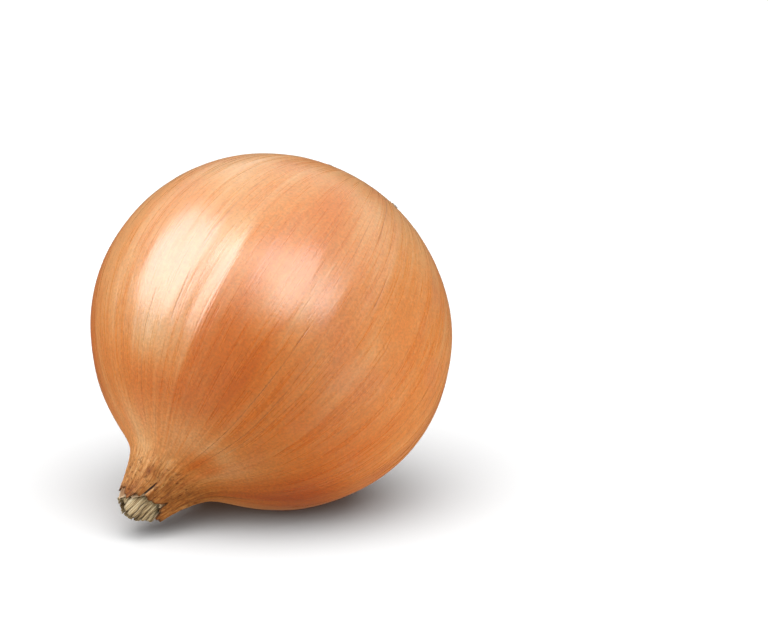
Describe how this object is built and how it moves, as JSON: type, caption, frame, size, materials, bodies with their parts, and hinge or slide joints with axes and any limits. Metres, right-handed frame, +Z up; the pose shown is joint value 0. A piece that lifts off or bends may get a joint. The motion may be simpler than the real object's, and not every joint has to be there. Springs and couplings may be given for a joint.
{
  "type": "onion",
  "caption": "Whole brown onion lying on its belly, with a bent papery neck of torn sheaths and a combed tuft of dried roots.",
  "frame": {"origin": "middle of the small flat spot on the belly that the onion rests on", "axes": "+Z up from the surface it lies on; the growth axis lies in the XZ plane, the neck pointing down towards -X at about 45 degrees below level and the root end up towards +X"},
  "size_m": [0.0826, 0.0803, 0.0778],
  "materials": {
    "skin": "thin, dry, coppery brown skin with a satin shine and fine dark veins along the bulb",
    "sheath": "dried straw-coloured leaf sheaths, fibrous and matt",
    "root": "dark brown dried roots on a corky root plate, matt"
  },
  "bodies": {
    "root": {"bulb": "skin", "neck_sheaths": "sheath", "root_tuft": "root"}
  },
  "joints": []
}
